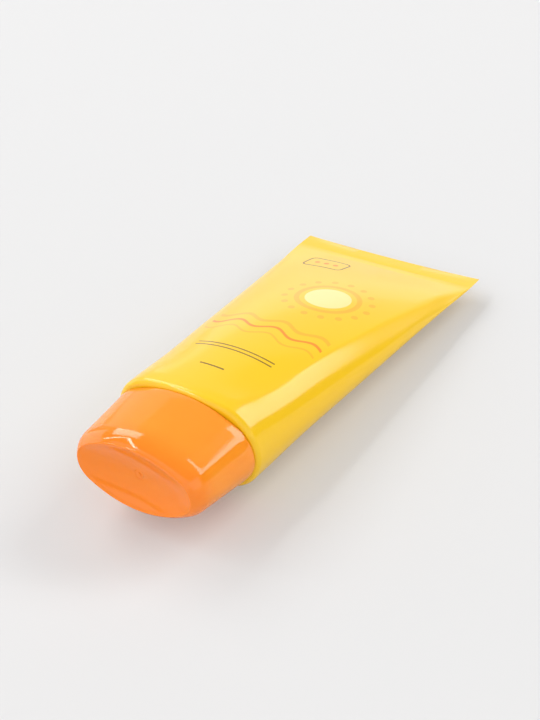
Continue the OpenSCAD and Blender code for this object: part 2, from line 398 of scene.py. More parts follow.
def printedFilm(crimpStart, sealStart, girth):
    material, tree = newMaterial("printed laminate film")
    uv = addNode(tree, "ShaderNodeUVMap", {"uv_map": "film"})
    flat = addNode(tree, "ShaderNodeSeparateXYZ", {}, {0: uv.outputs[0]})
    found = {"u": flat.outputs[0], "v": flat.outputs[1]}
    steps, masks = printSteps(sealStart, girth)
    for result, operation, *given in steps:
        inputs = {k: found.get(value, value) for k, value in enumerate(given)}
        found[result] = addNode(tree, "ShaderNodeMath", {"operation": operation}, inputs).outputs[0]

    # painted reflection: the field turns paler towards the crimp, a painted veil standing in for the
    # varnish's sheen there; then each ink is laid over it
    place = addNode(tree, "ShaderNodeTexCoord").outputs["Object"]
    patches = addNode(tree, "ShaderNodeTexNoise", {}, {
        "Vector": place, "Scale": 1 / (film["fieldPatch"] * mm)
    })
    fade = addNode(tree, "ShaderNodeMapRange", {"interpolation_type": "SMOOTHSTEP"}, {
        "Value": found["along"],
        "From Min": film["fadeFrom"],
        "From Max": crimpStart,
        "To Max": film["fade"],
    })
    found.update(patches=patches.outputs[0], fade=fade.outputs["Result"])
    colour = linear(film["field"])
    for mask, ink in [("patches", "fieldDeep"), ("fade", "pale")] + masks:
        layer = addNode(tree, "ShaderNodeMix", {"data_type": "RGBA"}, {
            0: found[mask], 6: colour, 7: linear(film[ink])
        })
        colour = layer.outputs[2]

    # the seal's ribs over the varnish's faint orange peel
    peel = addNode(tree, "ShaderNodeTexNoise", {}, {
        "Vector": place, "Scale": 1 / (film["peelSize"] * mm), "Detail": 1.0
    })
    relief = addNode(tree, "ShaderNodeBump", {}, {
        "Height": peel.outputs[0], "Distance": film["peel"] * mm
    })
    relief = addNode(tree, "ShaderNodeBump", {}, {
        "Height": found["ribs"], "Distance": film["ribDepth"] * mm, "Normal": relief.outputs[0]
    })
    finishMaterial(tree, {
        "Base Color": colour,
        "Roughness": film["haze"],
        "Specular IOR Level": film["sheen"],
        "IOR": 1.5,
        "Coat Weight": film["varnish"],
        "Coat Roughness": film["gloss"],
        "Normal": relief.outputs[0],
        "Coat Normal": relief.outputs[0],
    })
    return material


# Polypropylene injection moulded in a polished tool: deep gloss, colour all through, and a
# little light carried inside. The end is painted a shade deeper orange: painted shade for the end turned
# from the lamps.
polished = {
    "skirt": ("#FF9828", "#FE9424"),
    # painted shade: the end's deeper orange, blended in from the skirt over the rounded edge
    "end": ("#FF8A1A", "#FD8618"),
    "shadeFrom": 14.0,
    "shadeFull": 22.0,
    "cloudSize": 9.0,  # pigment streaks of a moulding, about a centimetre
    "gloss": 0.08,
    "depth": 2.0,
    "peel": 0.0012,
    "peelSize": 1.6,
}


def polishedPolypropylene():
    material, tree = newMaterial("polished polypropylene")
    place = addNode(tree, "ShaderNodeTexCoord").outputs["Object"]
    reach = addNode(tree, "ShaderNodeVectorMath", {"operation": "DOT_PRODUCT"}, {0: place, 1: capWay})
    start = capWay.dot(shoulderPoint)
    # painted shade: how far the skirt's orange has turned to the end's deeper, painted-shade orange along
    # the cap
    paintedShadeShare = addNode(tree, "ShaderNodeMapRange", {"interpolation_type": "SMOOTHSTEP"}, {
        "Value": reach.outputs["Value"],
        "From Min": start + polished["shadeFrom"] * mm,
        "From Max": start + polished["shadeFull"] * mm,
    })
    tints = []
    for skirt, end in zip(polished["skirt"], polished["end"]):
        tints.append(addNode(tree, "ShaderNodeMix", {"data_type": "RGBA"}, {
            0: paintedShadeShare.outputs["Result"], 6: linear(skirt), 7: linear(end)
        }))
    cloud = addNode(tree, "ShaderNodeTexNoise", {}, {
        "Vector": place, "Scale": 1 / (polished["cloudSize"] * mm)
    })
    colour = addNode(tree, "ShaderNodeMix", {"data_type": "RGBA"}, {
        0: cloud.outputs[0], 6: tints[0].outputs[2], 7: tints[1].outputs[2]
    })
    peel = addNode(tree, "ShaderNodeTexNoise", {}, {
        "Vector": place, "Scale": 1 / (polished["peelSize"] * mm), "Detail": 1.0
    })
    relief = addNode(tree, "ShaderNodeBump", {}, {
        "Height": peel.outputs[0], "Distance": polished["peel"] * mm
    })
    finishMaterial(tree, {
        "Base Color": colour.outputs[2],
        "Roughness": polished["gloss"],
        "IOR": 1.49,
        "Subsurface Weight": 0.15,
        "Subsurface Radius": (1.0, 0.45, 0.1),
        "Subsurface Scale": polished["depth"] * mm,
        "Normal": relief.outputs[0],
    })
    return material


def cloudyMaterial(name, look):
    # two close colours in soft patches, light carried inside, and a fine relief
    material, tree = newMaterial(name)
    place = addNode(tree, "ShaderNodeTexCoord").outputs["Object"]
    cloud = addNode(tree, "ShaderNodeTexNoise", {}, {
        "Vector": place, "Scale": 1 / (look["cloudSize"] * mm)
    })
    colour = addNode(tree, "ShaderNodeMix", {"data_type": "RGBA"}, {
        0: cloud.outputs[0], 6: linear(look["colours"][0]), 7: linear(look["colours"][1])
    })
    texture = addNode(tree, "ShaderNodeTexNoise", {}, {
        "Vector": place, "Scale": 1 / (look["textureSize"] * mm)
    })
    relief = addNode(tree, "ShaderNodeBump", {}, {
        "Height": texture.outputs[0], "Distance": look["textureDepth"] * mm
    })
    finishMaterial(tree, {
        "Base Color": colour.outputs[2],
        "Roughness": look["roughness"],
        "IOR": look["ior"],
        "Subsurface Weight": look["milkiness"],
        "Subsurface Radius": look["reach"],
        "Subsurface Scale": look["depth"] * mm,
        "Normal": relief.outputs[0],
    })
    return material


# natural polyethylene from a spark-eroded tool: waxy, satin, faintly cloudy
mouldedPolyethylene = {
    "colours": ("#F5F2E8", "#ECE8DB"),
    "cloudSize": 4.0,
    "roughness": 0.38,
    "ior": 1.51,
    "milkiness": 0.2,
    "reach": (1.0, 0.9, 0.8),
    "depth": 1.5,
    "textureSize": 0.35,  # spark pits are under 0.1 mm, drawn coarser so that they show
    "textureDepth": 0.006,
}

# a thick white emulsion: soft gloss, light carried well inside
sunCreamLotion = {
    "colours": ("#FAF6EA", "#F5EFDF"),
    "cloudSize": 12.0,
    "roughness": 0.3,
    "ior": 1.42,
    "milkiness": 0.4,
    "reach": (1.0, 0.85, 0.7),
    "depth": 2.0,
    "textureSize": 6.0,  # slumps of the filling, some millimetres across
    "textureDepth": 0.12,
}

# the unseen insert comes from a plain tool: the cap's colour, without its polish
satinPolypropylene = {
    "colours": ("#F9A045", "#F4943A"),
    "cloudSize": 5.0,
    "roughness": 0.32,
    "ior": 1.49,
    "milkiness": 0.2,
    "reach": (1.0, 0.45, 0.1),
    "depth": 1.5,
    "textureSize": 0.4,  # tool marks are finer too, drawn coarser so that they show
    "textureDepth": 0.006,
}

# rolled foil with the sealing head's waffle pressed in: bright crossing creases
rolledFoil = {
    "colours": ("#DADCDF", "#C9CCD1"),
    "roughness": (0.2, 0.42),
    "lineSize": 0.12,  # rolling lines are finer, drawn coarser so that they show
    "lineStretch": 0.03,
    "waffleSize": 0.8,  # from one pressed ridge of the sealing head to the next
    "waffleDepth": 0.06,
}


def aluminiumFoil():
    material, tree = newMaterial("aluminium foil")
    place = addNode(tree, "ShaderNodeTexCoord").outputs["Object"]
    ridges = []
    for direction in ((1, 0, 1), (1, 0, -1)):
        way = Vector(direction).normalized() * (math.pi / (rolledFoil["waffleSize"] * mm))
        phase = addNode(tree, "ShaderNodeVectorMath", {"operation": "DOT_PRODUCT"}, {0: place, 1: way})
        wave = addNode(tree, "ShaderNodeMath", {"operation": "SINE"}, {0: phase.outputs["Value"]})
        ridges.append(addNode(tree, "ShaderNodeMath", {"operation": "ABSOLUTE"}, {0: wave.outputs[0]}))
    waffle = addNode(tree, "ShaderNodeMath", {"operation": "MINIMUM"}, {
        0: ridges[1].outputs[0], 1: ridges[0].outputs[0]
    })
    rolled = addNode(tree, "ShaderNodeMapping", {}, {
        "Vector": place, "Scale": (1, 1, rolledFoil["lineStretch"])
    })
    lines = addNode(tree, "ShaderNodeTexNoise", {}, {
        "Vector": rolled.outputs[0], "Scale": 1 / (rolledFoil["lineSize"] * mm)
    })
    low, high = rolledFoil["roughness"]
    roughness = addNode(tree, "ShaderNodeMapRange", {}, {
        "Value": lines.outputs[0], "To Min": low, "To Max": high
    })
    colour = addNode(tree, "ShaderNodeMix", {"data_type": "RGBA"}, {
        0: lines.outputs[0], 6: linear(rolledFoil["colours"][0]), 7: linear(rolledFoil["colours"][1])
    })
    relief = addNode(tree, "ShaderNodeBump", {}, {
        "Height": waffle.outputs[0], "Distance": rolledFoil["waffleDepth"] * mm
    })
    finishMaterial(tree, {
        "Base Color": colour.outputs[2],
        "Roughness": roughness.outputs["Result"],
        "Metallic": 1.0,
        "Normal": relief.outputs[0],
    })
    return material


# a punched foam wad: closed cells of a third of a millimetre, matt and chalky
foam = {"colours": ("#F4F4F0", "#E2E2DC"), "cellSize": 0.35, "cellDepth": 0.05, "roughness": 0.75}


def foamedPolyethylene():
    material, tree = newMaterial("foamed polyethylene")
    place = addNode(tree, "ShaderNodeTexCoord").outputs["Object"]
    cells = addNode(tree, "ShaderNodeTexVoronoi", {}, {
        "Vector": place, "Scale": 1 / (foam["cellSize"] * mm)
    })
    height = cells.outputs["Distance"]
    colour = addNode(tree, "ShaderNodeMix", {"data_type": "RGBA"}, {
        0: height, 6: linear(foam["colours"][0]), 7: linear(foam["colours"][1])
    })
    relief = addNode(tree, "ShaderNodeBump", {}, {"Height": height, "Distance": foam["cellDepth"] * mm})
    finishMaterial(tree, {
        "Base Color": colour.outputs[2],
        "Roughness": foam["roughness"],
        "Normal": relief.outputs[0],
    })
    return material


# The sleeve: even girth from the oval shoulder to the flat crimp
sleeve = {
    "count": 240,
    "stations": 100,
    "sideRadius": 13.5,
    "sideShares": (0.02, 0.98),
    "insideShare": 0.1,
    "thinnest": 0.1,
    "wall": 0.45,
    "crimp": 6.2,
    "bulge": 2.05,
    "roll": 1.75,
    "rollSteps": 10,
    "lip": 1.2,
    "skirt": 3.0,
    "innerEvery": 5,
    "cutRound": 0.12,
    "groove": (0.4, 0.7),  # from and to, past the open length
    "pressed": 0.1,
    "slackEnds": (30.0, 14.0),  # how soon it sets in, from the head and from the crimp
    "upperFrom": 2.0,
    "sag": 0.95,
    "sagLength": 34.0,
    "waveSize": 26.0,
    "waveDepth": 0.1,
    "waveEnds": (20.0, 12.0),
    "settled": 0.3,
    "puckerSize": (11.0, 24.0),
    "puckerDepth": 0.28,
    "puckerEnds": (34.0, 5.0),  # where they start and are full, before the crimp
    "puckerLayer": 3.7,
    # along and across, to the corner of the crimp
    "foldLine": [(0, 19.6), (27, 20.0), (43, 21.2), (63, 23.2), (84, 26.0), (98, 28.6), (113, 31.4)],
    "foldRise": 1.2,
    "farFold": 0.2,
    "foldReach": 4.6,
    "foldRound": (1.4, 0.6),
    "foldEnds": (28.0, 14.0),
    "smooth": 35,
}
girth = 4 * sleeveHigh.x
sleeveLength = -sleeveLow.z
openLength = sleeveLength - sleeve["crimp"]
shoulderB = sleeveHigh.y
shoulderA = solveFor(
    girth, lambda a: girthOf(a, shoulderB, sleeve["sideRadius"]), shoulderB, sleeveHigh.x
)
taperStart = sleeve["roll"] + sleeve["skirt"]


def taperShare(y):
    # 0 where the film leaves the head, 1 at the crimp
    return max(0, min(1, (y - taperStart) / (openLength - taperStart)))


def bodyOval(y, inset=0):
    # half width, half height and side radius, y from the shoulder face
    a = shoulderA + (sleeveHigh.x - shoulderA) * taperShare(y)
    b = max(sleeve["wall"], shoulderB * (1 - taperShare(y) ** sleeve["bulge"]))
    least, most = sleeve["sideShares"]
    r = solveFor(girth, lambda side: girthOf(a, b, side), b * least, b * most)
    b = max(b - inset, sleeve["thinnest"])
    return a - inset, b, max(min(r - inset, b * most), b * sleeve["insideShare"])


def bellyLevel(z, inset):
    # the height at which the table meets a section
    return (inset - (shoulderPoint.z / mm) - capWay.z * z) / heightWay.z


def easeIn(share):
    share = max(0, min(1, share))
    return share * share * (3 - 2 * share)


def betweenEnds(y, ends):
    # grows from 0 at the head and from 0 at the crimp, each over its own length
    return easeIn((y - taperStart) / ends[0]) * easeIn((openLength - y) / ends[1])


def foldAt(y):
    # how far across the film's soft fold lies
    line = sleeve["foldLine"]
    for (y1, x1), (y2, x2) in zip(line, line[1:]):
        if y <= y2:
            break
    return x1 + (x2 - x1) * (y - y1) / (y2 - y1)


def softForm(point, y, floorY):
    # what a filled tube does by itself: it hangs, is never quite even, puckers and folds
    upper = easeIn(point.y / sleeve["upperFrom"])
    hang = max(0, 1 - (sleeveLength - y) / sleeve["sagLength"])
    lift = -sleeve["sag"] * hang ** 2 * (1 - (point.x / sleeveHigh.x) ** 2)

    nearHead, nearCrimp = sleeve["waveEnds"]
    hump = min(1, max(0, (y - taperStart) / nearHead), max(0, (openLength - y) / nearCrimp))
    around = Vector((point.x, point.y, point.z)) / sleeve["waveSize"]
    lift += sleeve["waveDepth"] * hump * (noise.noise(around) * upper - sleeve["settled"])

    (sizeX, sizeY), (reach, start) = sleeve["puckerSize"], sleeve["puckerEnds"]
    near = easeIn((openLength - y) / start) * easeIn(1 - (openLength - y) / reach)
    pucker = noise.noise(Vector((point.x / sizeX, y / sizeY, sleeve["puckerLayer"])))
    lift += sleeve["puckerDepth"] * near * upper * pucker

    # a soft fold runs to each corner of the crimp and gets sharper on its way
    widest, sharpens = sleeve["foldRound"]
    sharp = widest * (1 - sharpens * y / sleeveLength)
    off = math.hypot(abs(point.x) - foldAt(y), sharp) - sharp
    share = betweenEnds(y, sleeve["foldEnds"]) * (1 if point.x > 0 else sleeve["farFold"])
    lift += sleeve["foldRise"] * share * upper * math.exp(-off / sleeve["foldReach"])
    return Vector((point.x, max(point.y + lift, floorY), point.z))


def sleeveRing(y, inset):
    # away from the rigid head the film bends freely, so its section turns to an ellipse
    floorY = bellyLevel(-y, inset)
    slack = betweenEnds(y, sleeve["slackEnds"])
    ring = ovalRing(*bodyOval(y, inset), -y, sleeve["count"], floorY, slack)
    return [softForm(p, y, floorY) if p.y > floorY else p for p in ring]


def rollRing(u, inset):
    inward = inset + (sleeve["roll"] - inset) * (1 - math.cos(u))
    z = (sleeve["roll"] - inset) * math.sin(u) - sleeve["roll"]
    return ovalRing(
        shoulderA - inward, shoulderB - inward, sleeve["sideRadius"] - inward, z, sleeve["count"]
    )


def makeSleeve():
    steps = sleeve["stations"]
    stations = [sleeve["roll"]] + [
        taperStart + (openLength - taperStart) * i / steps for i in range(steps + 1)
    ]
    rollSteps = sleeve["rollSteps"]
    turns = [math.pi / 2 * i / rollSteps for i in range(1, rollSteps + 1)]
    # the seal: a cut edge, a flat band and the groove that the jaws leave under it
    band = [
        (sleeveLength, sleeve["pressed"]),
        (sleeveLength - sleeve["cutRound"], 0),
        (sleeveLength - sleeve["crimp"] / 2, 0),
        (openLength + sleeve["groove"][1], 0),
        (openLength + sleeve["groove"][0], sleeve["pressed"]),
    ]
    rings = [sleeveRing(y, inset) for y, inset in band]
    rings += [sleeveRing(y, 0) for y in reversed(stations)]
    rings += [rollRing(u, 0) for u in turns]
    lipIn = sleeve["roll"] + sleeve["lip"]
    for z in (0, -sleeve["wall"]):
        rings.append(ovalRing(
            shoulderA - lipIn, shoulderB - lipIn, sleeve["sideRadius"] - lipIn, z, sleeve["count"]
        ))
    rings += [rollRing(u, sleeve["wall"]) for u in reversed(turns[1::3])]
    rings += [sleeveRing(y, sleeve["wall"]) for y in stations[::sleeve["innerEvery"]] + [openLength]]
    piece = loft("tubeSleeve", rings)
    unrollFilm(piece, rings)
    smoothByAngle(piece, sleeve["smooth"])
    return piece


def unrollFilm(piece, rings):
    # UV of the flat film: across from the top centre line, and along
    count = sleeve["count"]
    top = count // 4
    flat = {}
    for k, ring in enumerate(rings):
        lengths = [0.0]
        for i in range(count):
            lengths.append(lengths[-1] + (ring[(i + 1) % count] - ring[i]).length)
        for i in range(count):
            flat[k * count + i] = (lengths[top] - lengths[i], -ring[i].z, lengths[-1])
    layer = piece.data.uv_layers.new(name="film")
    for face in piece.data.polygons:
        nearest = flat[face.vertices[0]][0]
        for loopIndex, vertex in zip(face.loop_indices, face.vertices):
            across, along, around = flat[vertex]
            while across - nearest > around / 2:
                across -= around
            while nearest - across > around / 2:
                across += around
            layer.data[loopIndex].uv = (across / film["flatUnit"], along / film["flatUnit"])


filmMaterial = printedFilm(openLength, openLength + sleeve["groove"][1], girth)
finishPiece(makeSleeve(), "tube", "sleeve_film", filmMaterial, "tube_sleeve")


# The thread on the neck and in the cap: two starts, rounded crests
thread = {
    "starts": 2,
    "lead": 5.0,
    "depth": 0.75,
    "crest": 0.32,
    "low": 1.2,
    "high": 9.6,
    "run": 0.8,
    "steps": 56,
}


def threadHeight(u, z):
    # 0 at the root and 1 on the crest, run out at both ends
    phase = (z / thread["lead"] - u / (2 * math.pi)) * thread["starts"] % 1
    ridge = max(0, min(1, (thread["crest"] - abs(phase - 0.5)) / (thread["crest"] / 2)))
    ends = min((z - thread["low"]) / thread["run"], (thread["high"] - z) / thread["run"])
    return ridge * max(0, min(1, ends))


head = {
    "count": 96,
    "skirt": 0.9,
    "plate": 1.3,
    "funnel": 5.5,
    "orifice": 3.0,
    "orificeLip": (0.2, 0.3),
    "edge": 0.4,
    "rootRound": 0.3,
    "topBand": 0.5,
    "gap": 0.06,
    "smooth": 40,
}


def neckOverThread():
    # the neck's radius over its thread, from the CAD node near its top
    back = layDown.inverted()
    points = [back @ v.co for v in frame["nodes"]["tube_head"].data.vertices]
    return max(math.hypot(p.x, p.y) for p in points if p.z > headHigh.z - head["topBand"])


def makeHead():
    count, edge, gap = head["count"], head["edge"], head["gap"]
    neckTop = headHigh.z
    root = neckOverThread() - thread["depth"]
    inset = shoulderA - headHigh.x
    plateLow = sleeve["wall"] + gap + head["plate"]

    def shoulderRing(inward, z):
        return ovalRing(shoulderA - inward, shoulderB - inward, sleeve["sideRadius"] - inward, z, count)

    # up the inside of the skirt, under the plate and through the orifice
    rings = [shoulderRing(inset + head["skirt"], z) for z in (headLow.z, -plateLow)]
    hole, (lipOut, lipDown) = head["orifice"], head["orificeLip"]
    for radius, z in (
        (head["funnel"], -plateLow), (hole, 0), (hole, neckTop - lipDown), (hole + lipOut, neckTop),
    ):
        rings.append(roundRing(radius, z, count))
    # over the neck's edge and down its thread
    for i in range(5):
        u = math.pi / 2 * i / 4
        rings.append(roundRing(root - edge * (1 - math.sin(u)), neckTop - edge * (1 - math.cos(u)), count))
    steps = thread["steps"]
    for i in range(steps + 1):
        z = neckTop - edge - (neckTop - edge - head["rootRound"]) * i / steps
        rings.append(roundRing(
            root, z, count, lambda turn, height: thread["depth"] * threadHeight(turn, height)
        ))
    rings.append(roundRing(root + head["rootRound"], 0, count))
    # out under the film's lip and round its roll to the skirt
    lipIn = sleeve["roll"] + sleeve["lip"] + gap
    rings += [shoulderRing(lipIn, 0), shoulderRing(lipIn, -sleeve["wall"] - gap)]
    inner = sleeve["roll"] - sleeve["wall"]
    for i in range(5, -1, -1):
        u = math.pi / 2 * i / 5
        rings.append(shoulderRing(
            sleeve["wall"] + inner * (1 - math.cos(u)) + gap, inner * math.sin(u) - sleeve["roll"] - gap
        ))
    rings += [shoulderRing(inset, headLow.z)]
    piece = loft("neckAndShoulder", rings, through=True)
    smoothByAngle(piece, head["smooth"])
    return piece


headMaterial = cloudyMaterial("moulded polyethylene", mouldedPolyethylene)
finishPiece(makeHead(), "tube", "head_plastic", headMaterial, "tube_head")


foil = {"count": 96, "edgeIn": 0.98, "tabSetback": 0.2, "smooth": 35}


def makeFoil():
    count = foil["count"]
    radius = foilHigh.x
    low = foilLow.z
    middle = (foilLow.z + foilHigh.z) / 2
    rings = [roundRing(radius * s, low, count) for s in (0.05, 0.5, 1)]
    rings += [roundRing(radius * s, middle, count) for s in (1, foil["edgeIn"], 0.5, 0.05)]
    piece = loft("peelFoil", rings)
    # the half-moon pull tab, folded back over the foil
    deselectAll()
    bpy.ops.mesh.primitive_circle_add(vertices=count, radius=radius * mm, fill_type="NGON")
    tab = bpy.context.object
    activate(tab)
    bpy.ops.object.mode_set(mode="EDIT")
    bpy.ops.mesh.select_all(action="SELECT")
    setback = (0, foil["tabSetback"] * mm, 0)
    bpy.ops.mesh.bisect(plane_co=setback, plane_no=(0, 1, 0), clear_inner=True, use_fill=False)
    bpy.ops.mesh.select_all(action="SELECT")
    thickness = (foilHigh.z - middle) * mm
    bpy.ops.mesh.extrude_region_move(TRANSFORM_OT_translate={"value": (0, 0, thickness)})
    bpy.ops.mesh.select_all(action="SELECT")
    bpy.ops.mesh.normals_make_consistent(inside=False)
    bpy.ops.object.mode_set(mode="OBJECT")
    tab.data.transform(layDown @ Matrix.Translation((0, 0, middle)) @ Matrix.Scale(1 / mm, 4))
    joinInto(piece, [tab])
    smoothByAngle(piece, foil["smooth"])
    return piece


finishPiece(makeFoil(), "tube", "foil", aluminiumFoil(), "neck_foil")


cream = {"stations": 24, "gap": 0.15, "closing": 0.5, "smooth": 35}


def makeCream():
    count, gap, steps = sleeve["count"], cream["gap"], cream["stations"]
    inset = sleeve["wall"] + gap
    far, near = -creamLow.z, taperStart + gap
    rings = [ovalRing(*[size * cream["closing"] for size in bodyOval(far, inset)], -far, count)]
    for i in range(steps + 1):
        y = far + (near - far) * i / steps
        rings.append(ovalRing(*bodyOval(y, inset), -y, count, bellyLevel(-y, inset)))
    skirtIn = shoulderA - headHigh.x + head["skirt"] + gap
    plateLow = sleeve["wall"] + head["gap"] + head["plate"] + gap
    for y in (near, plateLow):
        rings.append(ovalRing(
            shoulderA - skirtIn, shoulderB - skirtIn, sleeve["sideRadius"] - skirtIn, -y, count
        ))
    hole = head["orifice"] - gap
    for radius, z in ((head["funnel"] - gap, -plateLow), (hole, 0), (hole, creamHigh.z)):
        rings.append(roundRing(radius, z, count))
    piece = loft("sunCream", rings)
    smoothByAngle(piece, cream["smooth"])
    return piece


finishPiece(makeCream(), "tube", "cream", cloudyMaterial("sun cream lotion", sunCreamLotion), "cream_fill")


# The cap: straight draft, rounded edge, flat rim and dished end with a moulding mark
cap = {
    "count": 192,
    "sideRadius": 10.4,
    "leanWide": 2.4,
    "leanHigh": 1.7,
    "edgeLength": 5.6,
    "edgeIn": 2.5,
    "edgeTurn": 56.0,
    "rim": 0.3,
    "dish": 2.8,
    "wall": 1.3,
    "wallIn": 0.2,
    "mouthRound": 0.25,
    "skirtRings": (3, 7, 11, 15),
    "edgeLead": 0.6,
    "edgeSteps": 18,
    "dishSteps": 26,
    "dishShare": 0.88,
    # a small round between edge and dish, as a tool leaves it: inward and down, in crests
    "crest": 0.42,
    "crestShape": [(-0.55, 0.34), (-0.3, 0.14), (0.0, 0.03), (0.3, 0.03), (0.62, 0.16), (0.95, 0.36)],
    # the moulding mark, a shallow round recess with the gate's small nib in it: radius and height
    "gateMark": [
        (1.62, 0.03), (1.5, -0.02), (1.34, -0.16), (1.05, -0.16), (0.5, -0.15), (0.42, 0.02), (0.12, 0.04),
    ],
    "smooth": 32,
}
capLength = capHigh.z
capA = capHigh.x + cap["leanWide"] * capLow.z / capLength
capB = capHigh.y + cap["leanHigh"] * capLow.z / capLength


def capOval(leanAt, inward):
    # half width, half height and side radius of the cap as it leans at that height
    share = leanAt / capLength
    wide, high = cap["leanWide"] * share, cap["leanHigh"] * share
    side = cap["sideRadius"] - (wide + high) / 2
    return capA - wide - inward, capB - high - inward, side - inward


def capRing(leanAt, inward, z, scale=1.0):
    return ovalRing(*[size * scale for size in capOval(leanAt, inward)], z, cap["count"])


def makeCapShell():
    wall, small = cap["wall"], cap["mouthRound"]
    ceiling = capLength - cap["dish"] - wall
    # from the ceiling down the inside, and round the mouth
    rings = [capRing(ceiling, wall, ceiling, share) for share in (0.1, 0.6, 1)]
    rings += [capRing(z, wall, z) for z in (ceiling * 0.6, ceiling * 0.3, capLow.z + cap["wallIn"])]
    rings.append(capRing(capLow.z, wall - cap["wallIn"] / 2, capLow.z))
    for i in range(5):
        u = math.pi / 2 * i / 4
        rings.append(capRing(capLow.z, small * (1 - math.sin(u)), capLow.z + small * (1 - math.cos(u))))
    # up the skirt and over the rounded edge
    edgeStart = capLength - cap["edgeLength"]
    rings += [capRing(z, 0, z) for z in (*cap["skirtRings"], edgeStart - cap["edgeLead"])]
    endTurn = cap["edgeTurn"] * radian
    for i in range(cap["edgeSteps"]):
        u = endTurn * i / cap["edgeSteps"]
        inward = cap["edgeIn"] * (1 - math.cos(u)) / (1 - math.cos(endTurn))
        z = edgeStart + cap["edgeLength"] * math.sin(u) / math.sin(endTurn)
        rings.append(capRing(edgeStart, inward, z))
    crest = cap["crest"]
    for across, down in cap["crestShape"]:
        rings.append(capRing(edgeStart, cap["edgeIn"] + across * crest, capLength - down * crest))
    # down into the dish
    for i in range(1, cap["dishSteps"]):
        share = 1 - cap["dishShare"] * i / cap["dishSteps"]
        z = capLength - cap["dish"] * (1 - share * share)
        rings.append(capRing(edgeStart, cap["edgeIn"] + cap["rim"], z, share))
    for radius, lift in cap["gateMark"]:
        rings.append(roundRing(radius, capLength - cap["dish"] + lift, cap["count"]))
    piece = loft("capShell", rings)
    smoothByAngle(piece, cap["smooth"])
    return piece


finishPiece(makeCapShell(), "cap", "cap_plastic", polishedPolypropylene(), "cap_shell")


insert = {
    "count": 96,
    "wall": 1.5,
    "baseLow": 1.3,
    "baseThick": 1.2,
    "seatRadius": 7.0,
    "seatWall": 1.2,
    "edge": 0.3,
    "corner": 0.2,
    "ribThick": 1.0,
    "ribHigh": 6.0,
    "ribRound": 0.2,
    "ribSink": (0.3, 0.2),
    "gap": 0.06,
    "threadGap": 0.12,
    "smooth": 40,
}


def makeInsert():
    count, edge, corner = insert["count"], insert["edge"], insert["corner"]
    bore = linerHigh.x + insert["threadGap"]
    boreTop = linerHigh.z + insert["gap"]
    outer = bore + insert["wall"]
    low, top = insertLow.z, boreTop + insert["wall"]
    baseLow = insert["baseLow"]
    baseTop = baseLow + insert["baseThick"]
    keyed = cap["wall"] + insert["gap"]
    rings = [roundRing(bore * share, boreTop, count) for share in (0.1, 0.6, 1)]
    # down the thread in the bore, half a pitch round from the neck's
    offset = math.pi / thread["starts"]
    steps = thread["steps"]
    for i in range(steps + 1):
        z = boreTop - edge - (boreTop - 2 * edge - low) * i / steps
        rings.append(roundRing(
            bore, z, count, lambda turn, height: -thread["depth"] * threadHeight(turn + offset, height)
        ))
    # round the mouth, out over the oval base plate and up to the seat ring
    for radius, z in ((bore + edge, low), (outer - corner, low), (outer, low + corner), (outer, baseLow)):
        rings.append(roundRing(radius, z, count))
    for inward, z in ((corner, baseLow), (0, baseLow + corner), (0, baseTop)):
        rings.append(ovalRing(*capOval(baseTop, keyed + inward), z, count))
    seat = insert["seatRadius"]
    seatIn = seat - insert["seatWall"]
    for radius, z in (
        (outer, baseTop), (outer, top - edge), (outer - edge, top), (seat, top),
        (seat, insertHigh.z), (seatIn, insertHigh.z), (seatIn, top), (0.2, top),
    ):
        rings.append(roundRing(radius, z, count))
    piece = loft("threadedInsert", rings)
    return joinInto(piece, [makeRib(k, outer, baseTop, keyed) for k in range(4)])


def makeRib(quarter, outer, baseTop, keyed):
    # a rib from the threaded sleeve to the shell, leaning with the shell
    high = insert["ribHigh"]
    reach = capOval(baseTop + high, keyed)[quarter % 2]
    inward, downward = insert["ribSink"]
    deselectAll()
    bpy.ops.mesh.primitive_cube_add(size=1)
    rib = bpy.context.object
    size = Vector((reach - outer + inward, insert["ribThick"], high + downward))
    middle = Vector(((reach + outer - inward) / 2, 0, baseTop + (high - downward) / 2))
    turn = Matrix.Rotation(math.pi / 2 * quarter, 4, "Z")
    rib.data.transform(turn @ Matrix.Translation(middle) @ Matrix.Diagonal(size).to_4x4())
    rib.data.transform(layDown)
    rounding = rib.modifiers.new("roundEdges", "BEVEL")
    rounding.width = insert["ribRound"] * mm
    rounding.segments = 3
    applyModifiers(rib)
    return rib


insertPiece = makeInsert()
smoothByAngle(insertPiece, insert["smooth"])
insertMaterial = cloudyMaterial("satin polypropylene", satinPolypropylene)
finishPiece(insertPiece, "cap", "insert_plastic", insertMaterial, "cap_insert")


wad = {"count": 96, "edge": 0.1, "printed": 0.06, "smooth": 40}


def makeWad():
    # a disc with the neck's faint round print on its lower face
    low, high, radius = linerLow.z, linerHigh.z, linerHigh.x
    edge, printed = wad["edge"], wad["printed"]
    rings = []
    for share, z in (
        (0.04, low), (0.42, low), (0.44, low + printed), (0.84, low + printed), (0.86, low), (0.98, low),
        (1, low + edge), (1, high - edge), (0.98, high), (0.5, high), (0.04, high),
    ):
        rings.append(roundRing(radius * share, z, wad["count"]))
    piece = loft("sealingWad", rings)
    smoothByAngle(piece, wad["smooth"])
    return piece


finishPiece(makeWad(), "liner", "liner_foam", foamedPolyethylene(), "cap_liner")


